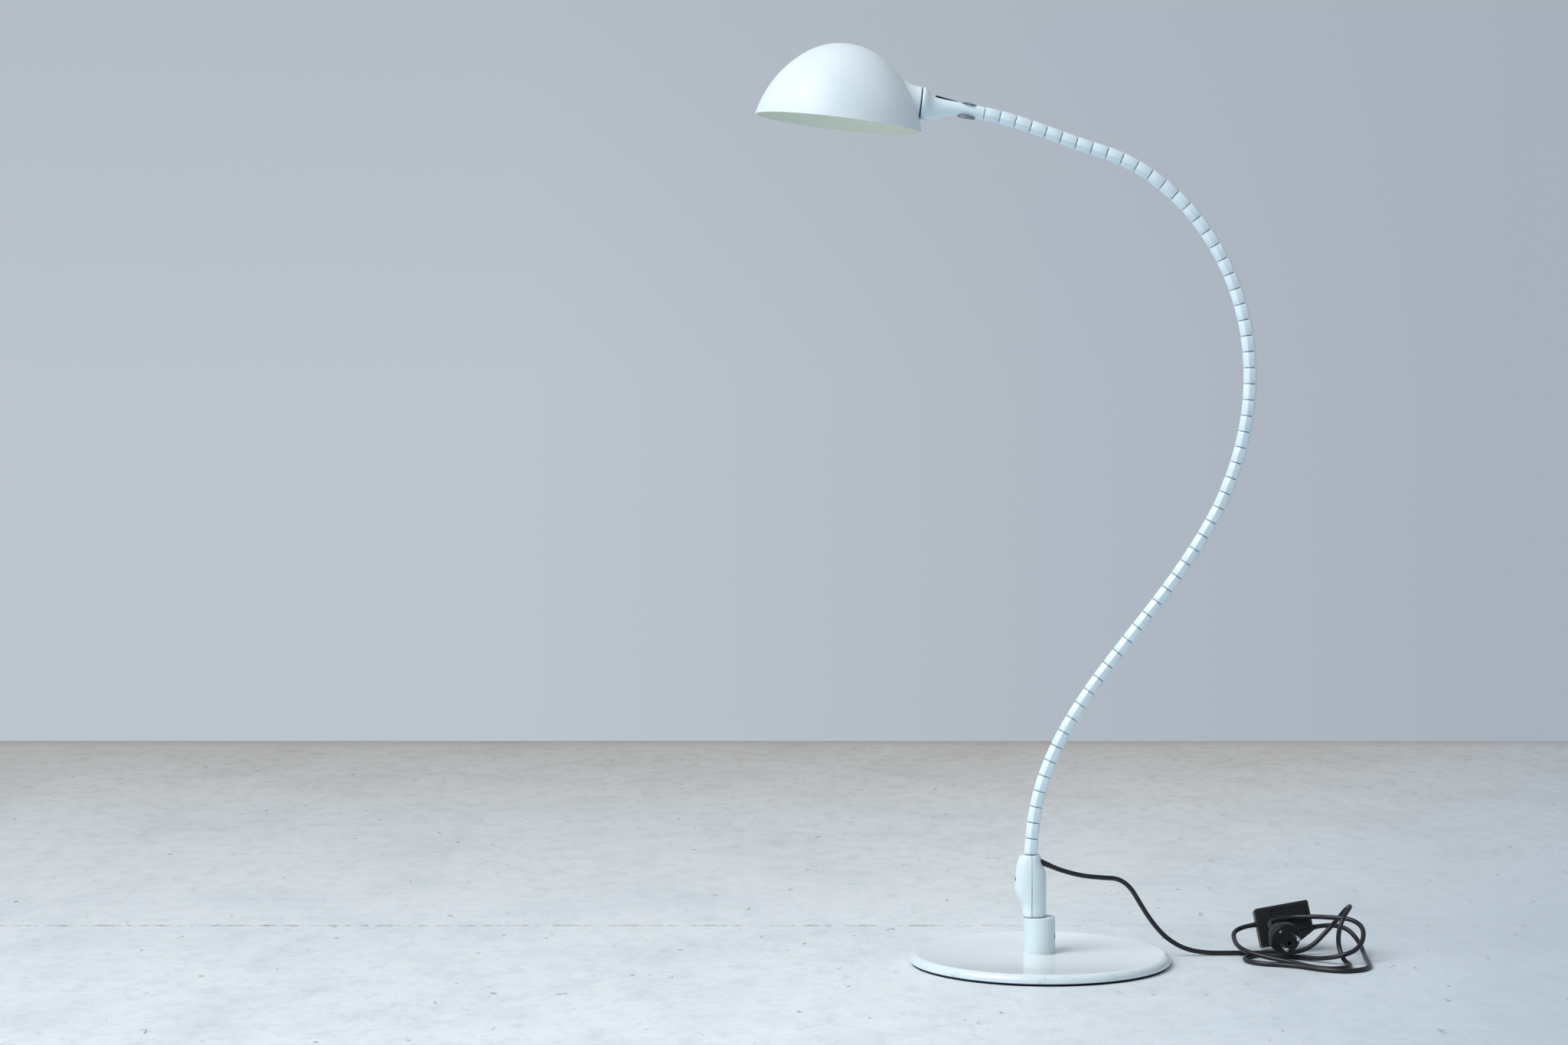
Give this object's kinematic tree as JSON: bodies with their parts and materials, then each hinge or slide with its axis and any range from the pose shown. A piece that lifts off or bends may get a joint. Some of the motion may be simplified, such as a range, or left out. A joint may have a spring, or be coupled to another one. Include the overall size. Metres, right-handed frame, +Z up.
{
  "type": "gooseneck floor lamp",
  "caption": "Floor reading lamp: heavy round base, short post, bendable neck of linked beads, and a dome shade that rolls on a collar; mains lead with foot switch box and plug",
  "frame": {"origin": "the middle of the flat underside of the base pad, which stands on the floor", "axes": "+Z up; +X to the right seen from the front, away from the shade; +Y away from the viewer; the neck lies in the XZ plane"},
  "size_m": [0.7525, 0.32, 1.1224],
  "materials": {
    "base_enamel": "glossy off-white enamel, worn at the rim",
    "foot_pad": "dull black pad",
    "pale_plastic": "satin pale blue-white plastic",
    "shade_plastic": "matte pale blue-white outside, cream inside",
    "dark_steel": "dark screws and pin",
    "bright_steel": "polished screw heads and contact pins",
    "grey_steel": "dull grey nut and tube",
    "strip_black": "dark strip on the arm",
    "holder_plastic": "white lampholder",
    "bulb_glass": "frosted bulb",
    "lead_black": "flexible black lead and boots",
    "box_black": "black moulded box and plug",
    "terminal_white": "terminal block"
  },
  "bodies": {
    "base": {"base_plate": "base_enamel", "base_pad": "foot_pad", "base_post": "pale_plastic", "post_bolt": "grey_steel", "set_screw": "dark_steel", "mounting_pin": "grey_steel", "housing_left": "pale_plastic", "housing_right": "pale_plastic", "housing_screw": "dark_steel", "terminal_block": "terminal_white", "neck_spigot": "pale_plastic", "cord_relief": "lead_black", "lead_cord": "lead_black", "loose_coil": "lead_black", "inline_box_front": "box_black", "inline_box_back": "box_black", "box_reliefs": "lead_black", "plug_body": "box_black", "plug_pins": "bright_steel", "plug_screw": "bright_steel", "plug_relief": "lead_black"},
    "link_01": {"neck_link_01": "pale_plastic"},
    "link_02": {"neck_link_02": "pale_plastic"},
    "link_03": {"neck_link_03": "pale_plastic"},
    "link_04": {"neck_link_04": "pale_plastic"},
    "link_05": {"neck_link_05": "pale_plastic"},
    "link_06": {"neck_link_06": "pale_plastic"},
    "link_07": {"neck_link_07": "pale_plastic"},
    "link_08": {"neck_link_08": "pale_plastic"},
    "link_09": {"neck_link_09": "pale_plastic"},
    "link_10": {"neck_link_10": "pale_plastic"},
    "link_11": {"neck_link_11": "pale_plastic"},
    "link_12": {"neck_link_12": "pale_plastic"},
    "link_13": {"neck_link_13": "pale_plastic"},
    "link_14": {"neck_link_14": "pale_plastic"},
    "link_15": {"neck_link_15": "pale_plastic"},
    "link_16": {"neck_link_16": "pale_plastic"},
    "link_17": {"neck_link_17": "pale_plastic"},
    "link_18": {"neck_link_18": "pale_plastic"},
    "link_19": {"neck_link_19": "pale_plastic"},
    "link_20": {"neck_link_20": "pale_plastic"},
    "link_21": {"neck_link_21": "pale_plastic"},
    "link_22": {"neck_link_22": "pale_plastic"},
    "link_23": {"neck_link_23": "pale_plastic"},
    "link_24": {"neck_link_24": "pale_plastic"},
    "link_25": {"neck_link_25": "pale_plastic"},
    "link_26": {"neck_link_26": "pale_plastic"},
    "link_27": {"neck_link_27": "pale_plastic"},
    "link_28": {"neck_link_28": "pale_plastic"},
    "link_29": {"neck_link_29": "pale_plastic"},
    "arm": {"arm_collar": "pale_plastic", "arm_cover": "strip_black", "arm_screw": "bright_steel", "arm_nut": "grey_steel", "swivel_tube": "grey_steel", "swivel_nut": "grey_steel", "lampholder": "holder_plastic", "bulb": "bulb_glass"},
    "shade": {"shade": "shade_plastic"},
    "pedal": {"foot_button": "box_black"}
  },
  "joints": [
    {"name": "neck_bend_01", "type": "hinge", "parent": "base", "child": "link_01", "pos_m": [-0.0111, 0, 0.1341], "axis": [0, -1, 0], "range_deg": [-3.5, 6]},
    {"name": "neck_bend_02", "type": "hinge", "parent": "link_01", "child": "link_02", "pos_m": [-0.00754, 0, 0.17313], "axis": [0, -1, 0], "range_deg": [-3.5, 6]},
    {"name": "neck_side_03", "type": "hinge", "parent": "link_02", "child": "link_03", "pos_m": [-0.00008, 0, 0.21159], "axis": [0.9559, 0, -0.2938], "range_deg": [-5.5, 5.5]},
    {"name": "neck_bend_04", "type": "hinge", "parent": "link_03", "child": "link_04", "pos_m": [0.0126, 0, 0.24866], "axis": [0, -1, 0], "range_deg": [-3.5, 6]},
    {"name": "neck_bend_05", "type": "hinge", "parent": "link_04", "child": "link_05", "pos_m": [0.02944, 0, 0.28405], "axis": [0, -1, 0], "range_deg": [-3.5, 6]},
    {"name": "neck_side_06", "type": "hinge", "parent": "link_05", "child": "link_06", "pos_m": [0.04941, 0, 0.31777], "axis": [0.8325, 0, -0.554], "range_deg": [-5.5, 5.5]},
    {"name": "neck_bend_07", "type": "hinge", "parent": "link_06", "child": "link_07", "pos_m": [0.07156, 0, 0.35011], "axis": [0, -1, 0], "range_deg": [-3.5, 6]},
    {"name": "neck_bend_08", "type": "hinge", "parent": "link_07", "child": "link_08", "pos_m": [0.09506, 0, 0.38148], "axis": [0, -1, 0], "range_deg": [-3.5, 6]},
    {"name": "neck_side_09", "type": "hinge", "parent": "link_08", "child": "link_09", "pos_m": [0.11913, 0, 0.41242], "axis": [0.7903, 0, -0.6128], "range_deg": [-5.5, 5.5]},
    {"name": "neck_bend_10", "type": "hinge", "parent": "link_09", "child": "link_10", "pos_m": [0.14303, 0, 0.44349], "axis": [0, -1, 0], "range_deg": [-3.5, 6]},
    {"name": "neck_bend_11", "type": "hinge", "parent": "link_10", "child": "link_11", "pos_m": [0.16618, 0, 0.47513], "axis": [0, -1, 0], "range_deg": [-8, 3]},
    {"name": "neck_side_12", "type": "hinge", "parent": "link_11", "child": "link_12", "pos_m": [0.18798, 0, 0.5077], "axis": [0.8542, 0, -0.52], "range_deg": [-5.5, 5.5]},
    {"name": "neck_bend_13", "type": "hinge", "parent": "link_12", "child": "link_13", "pos_m": [0.20795, 0, 0.54143], "axis": [0, -1, 0], "range_deg": [-8, 3]},
    {"name": "neck_bend_14", "type": "hinge", "parent": "link_13", "child": "link_14", "pos_m": [0.22503, 0, 0.57667], "axis": [0, -1, 0], "range_deg": [-8, 3]},
    {"name": "neck_side_15", "type": "hinge", "parent": "link_14", "child": "link_15", "pos_m": [0.23845, 0, 0.61349], "axis": [0.9625, 0, -0.2713], "range_deg": [-5.5, 5.5]},
    {"name": "neck_bend_16", "type": "hinge", "parent": "link_15", "child": "link_16", "pos_m": [0.24805, 0, 0.65148], "axis": [0, -1, 0], "range_deg": [-8, 3]},
    {"name": "neck_bend_17", "type": "hinge", "parent": "link_16", "child": "link_17", "pos_m": [0.25337, 0, 0.69031], "axis": [0, -1, 0], "range_deg": [-8, 3]},
    {"name": "neck_side_18", "type": "hinge", "parent": "link_17", "child": "link_18", "pos_m": [0.25419, 0, 0.72948], "axis": [0.9977, 0, 0.0678], "range_deg": [-5.5, 5.5]},
    {"name": "neck_bend_19", "type": "hinge", "parent": "link_18", "child": "link_19", "pos_m": [0.25035, 0, 0.76847], "axis": [0, -1, 0], "range_deg": [-8, 3]},
    {"name": "neck_bend_20", "type": "hinge", "parent": "link_19", "child": "link_20", "pos_m": [0.24176, 0, 0.8067], "axis": [0, -1, 0], "range_deg": [-8, 3]},
    {"name": "neck_side_21", "type": "hinge", "parent": "link_20", "child": "link_21", "pos_m": [0.22841, 0, 0.84354], "axis": [0.9028, 0, 0.43], "range_deg": [-5.5, 5.5]},
    {"name": "neck_bend_22", "type": "hinge", "parent": "link_21", "child": "link_22", "pos_m": [0.21042, 0, 0.87834], "axis": [0, -1, 0], "range_deg": [-6.5, 2]},
    {"name": "neck_bend_23", "type": "hinge", "parent": "link_22", "child": "link_23", "pos_m": [0.18814, 0, 0.91057], "axis": [0, -1, 0], "range_deg": [-6.5, 2]},
    {"name": "neck_side_24", "type": "hinge", "parent": "link_23", "child": "link_24", "pos_m": [0.16155, 0, 0.93929], "axis": [0.6471, 0, 0.7624], "range_deg": [-5.5, 5.5]},
    {"name": "neck_bend_25", "type": "hinge", "parent": "link_24", "child": "link_25", "pos_m": [0.13094, 0, 0.96375], "axis": [0, -1, 0], "range_deg": [-6.5, 2]},
    {"name": "neck_bend_26", "type": "hinge", "parent": "link_25", "child": "link_26", "pos_m": [0.09687, 0, 0.98302], "axis": [0, -1, 0], "range_deg": [-6.5, 2]},
    {"name": "neck_side_27", "type": "hinge", "parent": "link_26", "child": "link_27", "pos_m": [0.05991, 0, 0.99598], "axis": [0.3208, 0, 0.9472], "range_deg": [-5.5, 5.5]},
    {"name": "neck_bend_28", "type": "hinge", "parent": "link_27", "child": "link_28", "pos_m": [0.02289, 0, 1.00886], "axis": [0, -1, 0], "range_deg": [-6.5, 2]},
    {"name": "neck_bend_29", "type": "hinge", "parent": "link_28", "child": "link_29", "pos_m": [-0.01404, 0, 1.022], "axis": [0, -1, 0], "range_deg": [-6.5, 2]},
    {"name": "neck_side_30", "type": "hinge", "parent": "link_29", "child": "arm", "pos_m": [-0.07065, 0, 1.03775], "axis": [0.2234, 0, 0.9747], "range_deg": [-5.5, 5.5]},
    {"name": "shade_roll", "type": "hinge", "parent": "arm", "child": "shade", "pos_m": [-0.14725, 0, 1.05026], "axis": [-0.9929, 0, 0.1186], "range_deg": [-120, 120]},
    {"name": "pedal_press", "type": "slide", "parent": "base", "child": "pedal", "axis": [0.0463, 0.9659, -0.2546], "range_m": [0, 0.002], "stiffness_N_per_m": 900, "springref_m": -0.0006}
  ]
}
